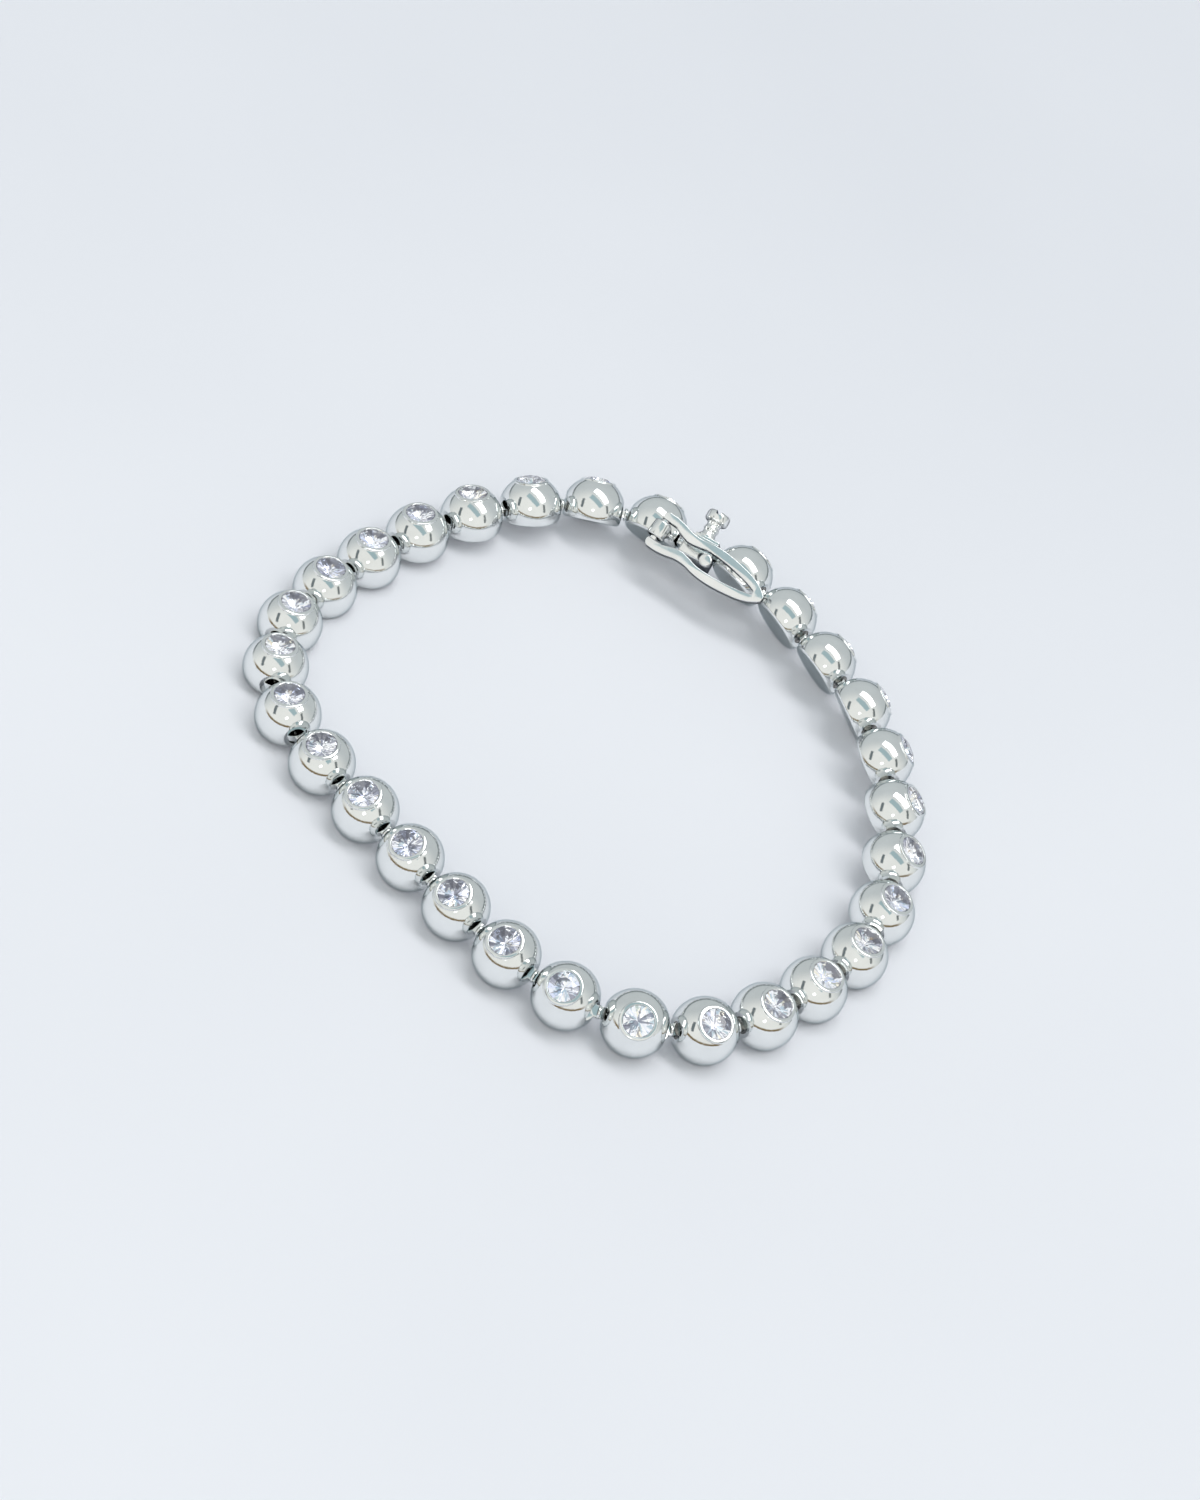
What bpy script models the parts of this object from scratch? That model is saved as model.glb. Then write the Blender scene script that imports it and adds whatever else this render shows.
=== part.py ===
"""A tennis bracelet of ball links with stones, lying closed on a table. Metres, +Z up, the table at Z = 0.

Each link's own frame has X along the chain, Y across it and Z out through its stone.
"""

import math

import bmesh
import bpy
import numpy as np
from mathutils import Matrix, Vector

# The balls and their settings
LINK_COUNT = 29
LINK_SIDES = 16
BALL_DIAMETER = 0.0059
BALL_GAP = 0.0004
BACK_DEPTH = 0.0013
BACK_BEVEL = 0.0003
STONE_DIAMETER = 0.0027
STONE_CROWN = 0.0003
TABLE_DIAMETER = 0.0015
SETTING_WALL = 0.0003
SETTING_HEIGHT = 0.00015

# The joint between two links: an eye on one, round a pin across a slot in the next
PIN_DIAMETER = 0.0004
PIN_INSET = 0.0012
EYE_HOLE = 0.0011
EYE_WIDTH = 0.0023
EYE_SIDES = 14
TAB_THICKNESS = 0.00065
TAB_NECK = 0.0013
TAB_ROOT = 0.0005
SLOT_HEIGHT = 0.0021
CLEARANCE = 0.0003

# The clasp: a box on the last link, a tongue on the end link
BOX_LENGTH = 0.0031
BOX_WIDTH = 0.0034
BOX_HEIGHT = 0.0020
BOX_WALL = 0.00045
BOX_DROP = 0.0004
PLATE_STEP = 0.0003
PLATE_HEIGHT = 0.0003
TONGUE_WIDTH = 0.0019
TONGUE_THICKNESS = 0.0005
TONGUE_REACH = 0.0020
STUD_COLLAR_DIAMETER = 0.0018
STUD_COLLAR_HEIGHT = 0.0003
STUD_SHAFT_DIAMETER = 0.0013
STUD_SHAFT_LENGTH = 0.0014
STUD_HEAD_DIAMETER = 0.0023
STUD_HEAD_THICKNESS = 0.0011
STUD_SLOT_WIDTH = 0.0005
STUD_SLOT_DEPTH = 0.0004
NUB_DIAMETER = 0.0011
NUB_POST_DIAMETER = 0.0008
NUB_ADVANCE = 0.0003

# The safety lever on the clasp's side, and the barrel that it turns in
LEVER_LENGTH = 0.0120
LEVER_WIDTH = 0.0040
LEVER_THICKNESS = 0.0008
LEVER_STANDOFF = 0.00075
LEVER_DROP = 0.0010
LEVER_SLANT_DEGREES = 7
LEVER_SPLAY_DEGREES = 3
AXLE_DIAMETER = 0.0007
BARREL_DIAMETER = 0.0018
BARREL_LENGTH = 0.0016
HINGE_FOOT_DIAMETER = 0.0012
HINGE_ADVANCE = 0.0012

# Shares of the lever's length and of half its width, from the hinge to the tip: station, outer edge, opening
LEVER_SECTIONS = [
    (0.07, 0.97, 0.56),
    (0.15, 0.90, 0.42),
    (0.24, 0.77, 0.28),
    (0.33, 0.76, 0.34),
    (0.42, 0.86, 0.46),
    (0.52, 0.90, 0.47),
    (0.62, 0.87, 0.43),
    (0.72, 0.79, 0.35),
    (0.82, 0.68, 0.24),
    (0.91, 0.50, 0.08),
    (1.00, 0.14, 0.00),
]

# Points of the closed route, in millimetres as it lies, with each stone's lift above the horizontal in degrees
ROUTE_UNIT = 0.001
ROUTE = [
    (6.0, 30.0, 33),
    (-8.0, 31.5, 52),
    (-20.0, 22.5, 80),
    (-27.5, 9.0, 90),
    (-29.5, -1.0, 88),
    (-25.5, -10.5, 79),
    (-13.0, -20.0, 67),
    (0.0, -28.5, 66),
    (10.0, -31.0, 52),
    (20.0, -26.5, 71),
    (28.5, -11.5, 77),
    (28.5, 2.0, 55),
    (24.0, 14.0, 34),
    (19.0, 20.0, 32),
]
ROUTE_SAMPLES = 60
SEARCH_STEPS = 50

# Sizes worked out from those above
BALL_RADIUS = BALL_DIAMETER / 2
PITCH = BALL_DIAMETER + BALL_GAP
PIN_REACH = BALL_RADIUS - PIN_INSET
EYE_REACH = PITCH - PIN_REACH
BOX_START = BALL_RADIUS + CLEARANCE
BOX_END = BOX_START + BOX_LENGTH
CLASP_EYE_REACH = BOX_END + BALL_GAP + PIN_INSET
LEVER_OFFSET = BALL_RADIUS + LEVER_STANDOFF
NUB_STATION = BOX_END + NUB_ADVANCE - HINGE_ADVANCE

METAL = ((0.80, 0.80, 0.78, 1.0), 0.08, 1.0)
LEVER_METAL = ((0.86, 0.86, 0.84, 1.0), 0.06, 1.0)


def clear_scene():
    for old in list(bpy.data.objects):
        bpy.data.objects.remove(old, do_unlink=True)


def new_collection(name):
    collection = bpy.data.collections.new(name)
    bpy.context.scene.collection.children.link(collection)
    return collection


def new_material(name, look):
    colour, roughness, metallic = look
    material = bpy.data.materials.new(name)
    material.use_nodes = True
    shader = material.node_tree.nodes["Principled BSDF"]
    shader.inputs["Base Color"].default_value = colour
    shader.inputs["Roughness"].default_value = roughness
    shader.inputs["Metallic"].default_value = metallic
    return material


def evaluated_mesh(obj):
    graph = bpy.context.evaluated_depsgraph_get()
    return bpy.data.meshes.new_from_object(obj.evaluated_get(graph))


def object_from_bmesh(name, shape):
    mesh = bpy.data.meshes.new(name)
    shape.to_mesh(mesh)
    shape.free()
    obj = bpy.data.objects.new(name, mesh)
    shapes.objects.link(obj)
    return obj


def block(name, size, centre):
    shape = bmesh.new()
    bmesh.ops.create_cube(shape, size=1.0)
    bmesh.ops.scale(shape, vec=size, verts=shape.verts)
    bmesh.ops.translate(shape, vec=centre, verts=shape.verts)
    return object_from_bmesh(name, shape)


def rod(name, diameter, start, end, sides=LINK_SIDES):
    start = Vector(start)
    end = Vector(end)
    shape = bmesh.new()
    bmesh.ops.create_cone(
        shape,
        cap_ends=True,
        segments=sides,
        radius1=diameter / 2,
        radius2=diameter / 2,
        depth=(end - start).length,
    )
    turn = Vector((0, 0, 1)).rotation_difference(end - start).to_matrix().to_4x4()
    bmesh.ops.transform(shape, matrix=Matrix.Translation((start + end) / 2) @ turn, verts=shape.verts)
    return object_from_bmesh(name, shape)


def turned(name, profile):
    """Turns a profile of (radius, height) points round Z, from its top point on the axis to its bottom one."""
    shape = bmesh.new()
    points = [shape.verts.new((radius, 0, height)) for radius, height in profile]
    for above, below in zip(points, points[1:]):
        shape.edges.new((above, below))
    obj = object_from_bmesh(name, shape)
    screw = obj.modifiers.new("Turn", "SCREW")
    screw.steps = LINK_SIDES
    screw.render_steps = LINK_SIDES
    screw.use_merge_vertices = True
    screw.merge_threshold = 0.00001
    return obj


def flat_plate(name, outlines, thickness):
    """A plate in the XY plane, centred on Z = 0, with outlines inside the first one as holes."""
    curve = bpy.data.curves.new(name, "CURVE")
    curve.dimensions = "2D"
    curve.fill_mode = "BOTH"
    curve.extrude = thickness / 2
    for outline in outlines:
        spline = curve.splines.new("POLY")
        spline.points.add(len(outline) - 1)
        for point, (x, y) in zip(spline.points, outline):
            point.co = (x, y, 0, 1)
        spline.use_cyclic_u = True
    guide = bpy.data.objects.new(name, curve)
    shapes.objects.link(guide)
    shape = bmesh.new()
    shape.from_mesh(evaluated_mesh(guide))
    bmesh.ops.remove_doubles(shape, verts=shape.verts, dist=0.000001)
    bpy.data.objects.remove(guide)
    return object_from_bmesh(name, shape)


def combine(name, base, others, operation):
    """Joins others to the base, or cuts them from it, and gives the result as a plain mesh object."""
    for other in others:
        boolean = base.modifiers.new(other.name, "BOOLEAN")
        boolean.operation = operation
        boolean.solver = "EXACT"
        boolean.object = other
    result = bpy.data.objects.new(name, evaluated_mesh(base))
    shapes.objects.link(result)
    for used in [base, *others]:
        bpy.data.objects.remove(used)
    return result


def arc(centre, radius, start_degrees, end_degrees, steps):
    angles = np.radians(np.linspace(start_degrees, end_degrees, steps))
    return [(centre[0] + radius * math.cos(a), centre[1] + radius * math.sin(a)) for a in angles]


def ball_profile():
    """From the middle of the stone's table down over the setting and the dome to the flat back."""
    stone_radius = STONE_DIAMETER / 2
    setting_radius = stone_radius + SETTING_WALL
    foot = math.sqrt(BALL_RADIUS**2 - setting_radius**2)
    rim = foot + SETTING_HEIGHT
    back_radius = math.sqrt(BALL_RADIUS**2 - BACK_DEPTH**2)
    dome_top = math.degrees(math.asin(foot / BALL_RADIUS))
    dome_low = -math.degrees(math.asin((BACK_DEPTH - BACK_BEVEL) / BALL_RADIUS))
    dome = arc((0, 0), BALL_RADIUS, dome_top, 0, 4) + arc((0, 0), BALL_RADIUS, 0, dome_low, 2)[1:]
    return [
        (0, rim + STONE_CROWN),
        (TABLE_DIAMETER / 2, rim + STONE_CROWN),
        (stone_radius, rim),
        (setting_radius, rim),
        *dome,
        (back_radius - BACK_BEVEL, -BACK_DEPTH),
        (0, -BACK_DEPTH),
    ]


def tab(name, reach, root):
    """An eye centred at -reach along X, with a neck back to -root."""
    radius = EYE_WIDTH / 2
    neck = TAB_NECK / 2
    spread = math.degrees(math.asin(neck / radius))
    outer = arc((-reach, 0), radius, spread, 360 - spread, EYE_SIDES)
    outer += [(-root, -neck), (-root, neck)]
    hole = arc((-reach, 0), EYE_HOLE / 2, 0, 360, EYE_SIDES + 1)[:-1]
    return flat_plate(name, [outer, hole], TAB_THICKNESS)


def slot(name):
    """The space in a ball that the next link's eye turns in, open at the ball's +X end."""
    depth = EYE_WIDTH / 2 + CLEARANCE
    start = PIN_REACH - depth
    end = BALL_DIAMETER
    return block(name, (end - start, 2 * depth, SLOT_HEIGHT), ((start + end) / 2, 0, 0))


def link_body(name):
    """A ball with its stone and back, cut by the slot, with the pin across it."""
    ball = combine(name, turned("ball", ball_profile()), [slot("slot")], "DIFFERENCE")
    overlap = SLOT_HEIGHT / 2 + CLEARANCE / 2
    pin = rod("pin", PIN_DIAMETER, (PIN_REACH, 0, -overlap), (PIN_REACH, 0, overlap), sides=6)
    return combine(name, ball, [pin], "UNION")


def link():
    root = BALL_RADIUS - TAB_ROOT
    return combine("link_shape", link_body("body"), [tab("tab", EYE_REACH, root)], "UNION")


def lever_frame():
    """The lever's own frame in the end link's: X towards its tip, Z along its axle, the axle at the origin."""
    slant = math.radians(LEVER_SLANT_DEGREES)
    splay = math.radians(LEVER_SPLAY_DEGREES)
    towards_tip = Vector((-math.cos(slant) * math.cos(splay), math.sin(splay), -math.sin(slant) * math.cos(splay)))
    across = Vector((math.sin(slant), 0, -math.cos(slant)))
    away = across.cross(towards_tip)
    turn = Matrix((towards_tip, away, across)).transposed().to_4x4()
    return Matrix.Translation((-HINGE_ADVANCE, LEVER_OFFSET, -LEVER_DROP)) @ turn


def end_link():
    """The link with the clasp's tongue and, soldered to its side, the barrel of the lever's hinge."""
    root = BALL_RADIUS - TAB_ROOT
    tip = BOX_START + TONGUE_REACH
    middle = (-(root + tip) / 2, 0, -BOX_DROP)
    tongue = block("tongue", (tip - root, TONGUE_WIDTH, TONGUE_THICKNESS), middle)
    frame = lever_frame()
    ends = [frame @ Vector((0, 0, side * BARREL_LENGTH / 2)) for side in (-1, 1)]
    barrel = rod("barrel", BARREL_DIAMETER, *ends)
    hinge = frame.translation
    foot = rod("foot", HINGE_FOOT_DIAMETER, (hinge.x, BALL_RADIUS / 2, hinge.z), hinge, sides=12)
    bore_ends = [frame @ Vector((0, 0, side * BARREL_LENGTH)) for side in (-1, 1)]
    bore = rod("bore", AXLE_DIAMETER + 2 * CLEARANCE, *bore_ends, sides=12)
    joined = combine("joined", link_body("body"), [tongue, foot, barrel], "UNION")
    return combine("end_link_shape", joined, [bore], "DIFFERENCE")


def clasp_box():
    """The box that the tongue slides into, with its stepped cover, stud, side nub and eye, in the end link's frame."""
    middle = -(BOX_START + BOX_END) / 2
    base = block("base", (BOX_LENGTH, BOX_WIDTH, BOX_HEIGHT), (middle, 0, -BOX_DROP))
    pocket_width = TONGUE_WIDTH + 2 * CLEARANCE
    pocket_height = TONGUE_THICKNESS + 2 * CLEARANCE
    pocket_end = BOX_START + TONGUE_REACH + CLEARANCE
    pocket_length = pocket_end - BALL_RADIUS
    pocket_middle = -(pocket_end + BALL_RADIUS) / 2
    pocket = block("pocket", (pocket_length, pocket_width, pocket_height), (pocket_middle, 0, -BOX_DROP))
    box = combine("box", base, [pocket], "DIFFERENCE")
    top = BOX_HEIGHT / 2 - BOX_DROP
    added = []
    sink = PLATE_HEIGHT / 2
    for level in (1, 2):
        size = (BOX_LENGTH - level * PLATE_STEP, BOX_WIDTH - 2 * level * PLATE_STEP, PLATE_HEIGHT + sink)
        centre = (middle - level * PLATE_STEP / 2, 0, top + (level - 0.5) * PLATE_HEIGHT - sink / 2)
        added.append(block(f"plate_{level}", size, centre))
    collar_top = top + 2 * PLATE_HEIGHT + STUD_COLLAR_HEIGHT
    shaft_top = collar_top + STUD_SHAFT_LENGTH
    head_top = shaft_top + STUD_HEAD_THICKNESS
    added.append(rod("collar", STUD_COLLAR_DIAMETER, (middle, 0, top), (middle, 0, collar_top), sides=12))
    added.append(rod("shaft", STUD_SHAFT_DIAMETER, (middle, 0, top), (middle, 0, shaft_top + sink), sides=12))
    head = rod("head", STUD_HEAD_DIAMETER, (middle, 0, shaft_top), (middle, 0, head_top), sides=12)
    notch_size = (STUD_SLOT_WIDTH, 2 * STUD_HEAD_DIAMETER, 2 * STUD_SLOT_DEPTH)
    added.append(combine("slotted_head", head, [block("notch", notch_size, (middle, 0, head_top))], "DIFFERENCE"))
    frame = lever_frame()
    post_foot = (-BOX_END + NUB_POST_DIAMETER, BOX_WIDTH / 2 - BOX_WALL / 2, -BOX_DROP - BOX_HEIGHT / 4)
    nub_start, post_top, nub_end = (
        frame @ Vector((NUB_STATION, height, 0))
        for height in (-LEVER_THICKNESS / 2, LEVER_THICKNESS / 2, LEVER_THICKNESS / 2 + CLEARANCE)
    )
    added.append(rod("post", NUB_POST_DIAMETER, post_foot, post_top, sides=12))
    added.append(rod("nub", NUB_DIAMETER, nub_start, nub_end, sides=12))
    added.append(tab("tab", CLASP_EYE_REACH, BOX_END - BOX_WALL / 2))
    return combine("clasp_box_shape", box, added, "UNION")


def lever():
    """A flat leaf-shaped loop, open at its hinge end, where an axle joins its two rails. In the lever's own frame."""
    half = LEVER_WIDTH / 2
    end_radius = LEVER_OFFSET - BALL_RADIUS - CLEARANCE
    first = LEVER_SECTIONS[0]
    outer = [(-end_radius, first[1] * half)]
    outer += [(station * LEVER_LENGTH, edge * half) for station, edge, _ in LEVER_SECTIONS]
    mouth = BARREL_LENGTH / 2 + CLEARANCE
    inner = [(-end_radius, mouth), (BARREL_DIAMETER / 2 + CLEARANCE, mouth)]
    inner += [(station * LEVER_LENGTH, gap * half) for station, _, gap in LEVER_SECTIONS[1:-1]]
    mirrored_outer = [(x, -y) for x, y in reversed(outer)]
    mirrored_inner = [(x, -y) for x, y in inner]
    outline = outer + mirrored_outer + mirrored_inner + inner[::-1]
    plate = flat_plate("plate", [outline], LEVER_THICKNESS)
    plate.data.transform(Matrix.Rotation(math.radians(90), 4, "X"))
    grip = first[1] * half - AXLE_DIAMETER / 2
    axle = rod("axle", AXLE_DIAMETER, (0, 0, -grip), (0, 0, grip), sides=8)
    return combine("lever_shape", plate, [axle], "UNION")


def route_path():
    """The closed route as many samples of (x, y, lift), on a smooth curve through its points."""
    points = np.array(ROUTE, float) * (ROUTE_UNIT, ROUTE_UNIT, 1)
    share = np.linspace(0, 1, ROUTE_SAMPLES, endpoint=False)[:, None]
    stretches = []
    for index in range(len(points)):
        before, here, after, later = (points[(index + step) % len(points)] for step in (-1, 0, 1, 2))
        bend = 2 * before - 5 * here + 4 * after - later
        twist = 3 * here - before - 3 * after + later
        stretches.append((2 * here + (after - before) * share + bend * share**2 + twist * share**3) / 2)
    stretches.append(points[:1])
    return np.concatenate(stretches)


def stepped(path, scale, lengths):
    """Steps along the scaled path by straight lengths: the joints, and where on the path each one is."""
    spots = path[:, :2] * scale
    joints = [spots[0]]
    places = [0.0]
    index = 1
    for length in lengths:
        while index < len(spots) and np.linalg.norm(spots[index] - joints[-1]) < length:
            index += 1
        if index == len(spots):
            return None
        low, high = 0.0, 1.0
        for _ in range(SEARCH_STEPS):
            share = (low + high) / 2
            spot = spots[index - 1] + (spots[index] - spots[index - 1]) * share
            if np.linalg.norm(spot - joints[-1]) < length:
                low = share
            else:
                high = share
        joints.append(spot)
        places.append(index - 1 + share)
    return np.array(joints), np.array(places)


def closed_chain(path):
    """The joints of a chain that just closes on the path: the end link first, then the others in order."""
    lengths = [EYE_REACH + PIN_REACH] * LINK_COUNT
    lengths[0] = CLASP_EYE_REACH + PIN_REACH
    low, high = 0.5, 2.0
    for _ in range(SEARCH_STEPS):
        scale = (low + high) / 2
        found = stepped(path, scale, lengths[:-1])
        if found and np.linalg.norm(found[0][-1] - found[0][0]) > lengths[-1]:
            high = scale
        else:
            low = scale
    joints, places = stepped(path, high, lengths[:-1])
    return joints, np.append(places, len(path) - 1)


def rest_height(lift):
    """How high a ball's centre is over the table when its stone is lifted by this angle."""
    return max(radius * abs(math.cos(lift)) - height * math.sin(lift) for radius, height in ball_profile())


def link_frames():
    """Each link's frame on the table, the end link first."""
    path = route_path()
    joints, places = closed_chain(path)
    lifts = np.radians(np.interp((places[:-1] + places[1:]) / 2, np.arange(len(path)), path[:, 2]))
    heights = np.array([rest_height(lift) for lift in lifts])
    joint_heights = (heights + np.roll(heights, 1)) / 2
    joints = np.column_stack([joints, joint_heights])
    frames = []
    for index, lift in enumerate(lifts):
        start = Vector(joints[index])
        along = (Vector(joints[(index + 1) % LINK_COUNT]) - start).normalized()
        outward = Vector((along.y, -along.x, 0)).normalized()
        stone = outward * math.cos(lift) + Vector((0, 0, 1)) * math.sin(lift)
        stone = (stone - along * stone.dot(along)).normalized()
        turn = Matrix((along, stone.cross(along), stone)).transposed().to_4x4()
        reach = EYE_REACH if index else CLASP_EYE_REACH
        frames.append(Matrix.Translation(start + along * reach) @ turn)
    return frames


def place(name, mesh, frame, material):
    """A named piece with its own material, placed by its frame."""
    obj = bpy.data.objects.new(name, mesh)
    bracelet.objects.link(obj)
    obj.data.materials.clear()
    obj.data.materials.append(material)
    obj.matrix_world = frame
    obj.data.shade_smooth()
    obj.data.set_sharp_from_angle(angle=math.radians(30))
    return obj


def centred_on_table(objects):
    """The move that puts the pieces' box over the origin, with its lowest point at Z = 0."""
    corners = np.array([obj.matrix_world @ vertex.co for obj in objects for vertex in obj.data.vertices])
    low = corners.min(axis=0)
    high = corners.max(axis=0)
    return Matrix.Translation((-(low[0] + high[0]) / 2, -(low[1] + high[1]) / 2, -low[2]))


clear_scene()
bracelet = new_collection("tennis_bracelet")
shapes = new_collection("shapes")

link_shape = link()
frames = link_frames()
pieces = []
for number in range(1, LINK_COUNT):
    name = f"link_{number:02d}"
    pieces.append(place(name, link_shape.data.copy(), frames[number], new_material(name, METAL)))
for name, shape in (("end_link", end_link()), ("clasp_box", clasp_box())):
    pieces.append(place(name, shape.data, frames[0], new_material(name, METAL)))
lever_place = frames[0] @ lever_frame()
pieces.append(place("safety_lever", lever().data, lever_place, new_material("safety_lever", LEVER_METAL)))

bpy.context.view_layer.update()
move = centred_on_table(pieces)
for piece in pieces:
    piece.matrix_world = move @ piece.matrix_world
for helper in list(shapes.objects):
    bpy.data.objects.remove(helper)
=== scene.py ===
"""The tennis bracelet of part.py with its finished surfaces, on a plain pale floor. Metres, +Z up.

Each link's own frame has X along the chain, Y across it and Z out through its stone.
"""

import math

import bmesh
import bpy
import numpy as np
from mathutils import Matrix, Vector


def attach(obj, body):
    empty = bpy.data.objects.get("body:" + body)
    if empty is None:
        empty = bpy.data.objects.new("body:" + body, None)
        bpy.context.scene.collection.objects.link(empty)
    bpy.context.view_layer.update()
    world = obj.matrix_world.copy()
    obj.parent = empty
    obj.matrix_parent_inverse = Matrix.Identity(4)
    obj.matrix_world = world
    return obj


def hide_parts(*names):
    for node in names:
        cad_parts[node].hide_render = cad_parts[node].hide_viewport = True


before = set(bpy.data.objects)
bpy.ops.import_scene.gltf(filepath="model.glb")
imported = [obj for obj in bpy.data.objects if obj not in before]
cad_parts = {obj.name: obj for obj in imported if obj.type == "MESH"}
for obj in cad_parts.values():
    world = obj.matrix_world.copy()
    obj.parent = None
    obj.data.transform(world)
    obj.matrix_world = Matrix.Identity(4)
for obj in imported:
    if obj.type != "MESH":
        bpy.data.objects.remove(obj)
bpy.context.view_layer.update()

# The balls and their settings, as in the solids
LINK_COUNT = 29
BALL_RADIUS = 0.00295
BALL_GAP = 0.0004
BACK_DEPTH = 0.0013
BACK_BEVEL = 0.0003
STONE_DIAMETER = 0.0027
STONE_CROWN = 0.0003
TABLE_DIAMETER = 0.0015
SETTING_WALL = 0.0003
SETTING_HEIGHT = 0.00015
PIN_DIAMETER = 0.0004
PIN_INSET = 0.0012
EYE_HOLE = 0.0011
EYE_WIDTH = 0.0023
TAB_THICKNESS = 0.00065
TAB_NECK = 0.0010
SLOT_HEIGHT = 0.0016
CLEARANCE = 0.0003

# The clasp, as in the solids
BOX_LENGTH = 0.0031
BOX_WIDTH = 0.0034
BOX_HEIGHT = 0.0020
BOX_WALL = 0.00045
BOX_DROP = 0.0004
PLATE_STEP = 0.0003
PLATE_HEIGHT = 0.0003
PLATE_OVERLAP = 0.5
TONGUE_WIDTH = 0.0019
TONGUE_THICKNESS = 0.0005
TONGUE_REACH = 0.0020
STUD_COLLAR_DIAMETER = 0.0018
STUD_COLLAR_HEIGHT = 0.0003
STUD_SHAFT_DIAMETER = 0.0015
STUD_SHAFT_LENGTH = 0.0014
STUD_GROOVES = 2
STUD_GROOVE_DEPTH = 0.07
STUD_HEAD_DIAMETER = 0.0023
STUD_HEAD_THICKNESS = 0.0011
STUD_SLOT_WIDTH = 0.0005
STUD_SLOT_DEPTH = 0.0004
NUB_DIAMETER = 0.00125
NUB_POST_DIAMETER = 0.0008
NUB_ADVANCE = 0.0003
LEVER_LENGTH = 0.0120
LEVER_WIDTH = 0.0040
LEVER_THICKNESS = 0.0008
LEVER_TIP_ROUNDING = 0.0003
LEVER_TIP_BREADTH = 1.9
LEVER_STANDOFF = 0.00075
LEVER_DROP = 0.0010
LEVER_SLANT_DEGREES = 7
LEVER_SPLAY_DEGREES = 3
AXLE_DIAMETER = 0.0007
BARREL_DIAMETER = 0.0018
BARREL_LENGTH = 0.0016
HINGE_FOOT_DIAMETER = 0.0012
HINGE_ADVANCE = 0.0012

# The lever's outline from its hinge to its tip. The columns are the station as a share of its length, and
# the outer edge and the opening as shares of half its width.
LEVER_SECTIONS = [
    (0.07, 0.97, 0.56),
    (0.15, 0.90, 0.42),
    (0.24, 0.77, 0.28),
    (0.33, 0.76, 0.34),
    (0.42, 0.86, 0.46),
    (0.52, 0.90, 0.47),
    (0.62, 0.87, 0.43),
    (0.72, 0.79, 0.35),
    (0.82, 0.68, 0.24),
    (0.91, 0.50, 0.08),
    (1.00, 0.14, 0.00),
]

# Points of the closed route, in millimetres, with each stone's lift above the horizontal in degrees
ROUTE_UNIT = 0.001
ROUTE = [
    (6.0, 30.0, 33),
    (-8.0, 31.5, 52),
    (-20.0, 22.5, 80),
    (-27.5, 9.0, 90),
    (-29.5, -1.0, 88),
    (-25.5, -10.5, 79),
    (-13.0, -20.0, 67),
    (0.0, -28.5, 66),
    (10.0, -31.0, 52),
    (20.0, -26.5, 71),
    (28.5, -11.5, 77),
    (28.5, 2.0, 55),
    (24.0, 14.0, 34),
    (19.0, 20.0, 32),
]
ROUTE_SAMPLES = 60

# The least and greatest scale of the route that are tried, and the halvings of each search
ROUTE_SCALES = (0.5, 2.0)
SEARCH_STEPS = 50

# How finely round and rounded forms are divided
BALL_STEPS = 96
ROUND_STEPS = 48
PIN_STEPS = 20
STUD_SHAFT_STEPS = 24
LINE_STEPS = 8
EDGE_STEPS = 3
LEVER_EDGE_STEPS = 5
DOME_POINTS = 34
EYE_POINTS = 40
EYE_HOLE_POINTS = 33
MERGE_DISTANCE = 1e-7
MERGE_DEGREES = 1
FACET_MERGE_DEGREES = 0.5
SMOOTH_DEGREES = 35
EDGE_DEGREES = 40
LEVER_EDGE_DEGREES = 60

# The rounding of the edges
EDGE = 0.00006
COLLAR_EDGE = 0.0001
BROAD_EDGE = 0.00015
SLOT_EDGE = 0.0002
HEAD_EDGE = 0.0003
LEVER_EDGE = 0.0003

# The ball's finer forms: the cup under the stone, the rim's lip and foot, and the corner of the flat back
CUP_DEPTH = 0.55 * STONE_DIAMETER
CUP_RADIUS = 0.97 * STONE_DIAMETER / 2
CUP_DROP = 0.0001
LIP_RADIUS = 0.00006
LIP_DROP = 0.00001
FILLET_RADIUS = 0.0001
FILLET_DEGREES = 2.5
CORNER_RADIUS = 0.00032
CORNER_RISE = 0.0002
CORNER_INSET = 0.93
BACK_RING = 0.6
LINK_ROOT = 0.8 * BALL_RADIUS

# The round openings in the ball's ends and the collar on the neck between two balls
OPENING_RADIUS = 0.00078
OPENING_RIM = 0.00040
OPENING_START = 0.00260
OPENING_SLOPE = 0.00012
COLLAR_DIAMETER = 0.0012
COLLAR_LENGTH = 0.0003

# The stone's proportions, and its turn from each link to the next in degrees
STONE_FIT = 0.985
STONE_DEPTH = 0.43
STONE_GIRDLE = 0.02
STONE_STARS = 0.5
STONE_LOWERS = 0.22
STONE_TURN = 37

# The camera
VIEW_ELEVATION = 42.25
VIEW_ROLL = 20.84
VIEW_DISTANCE = 0.3600
VIEW_TARGET = (0.00089, 0.00181, 0.0)
LENS_MM = 96
SENSOR_MM = 36
CLIP_START = 0.01

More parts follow.
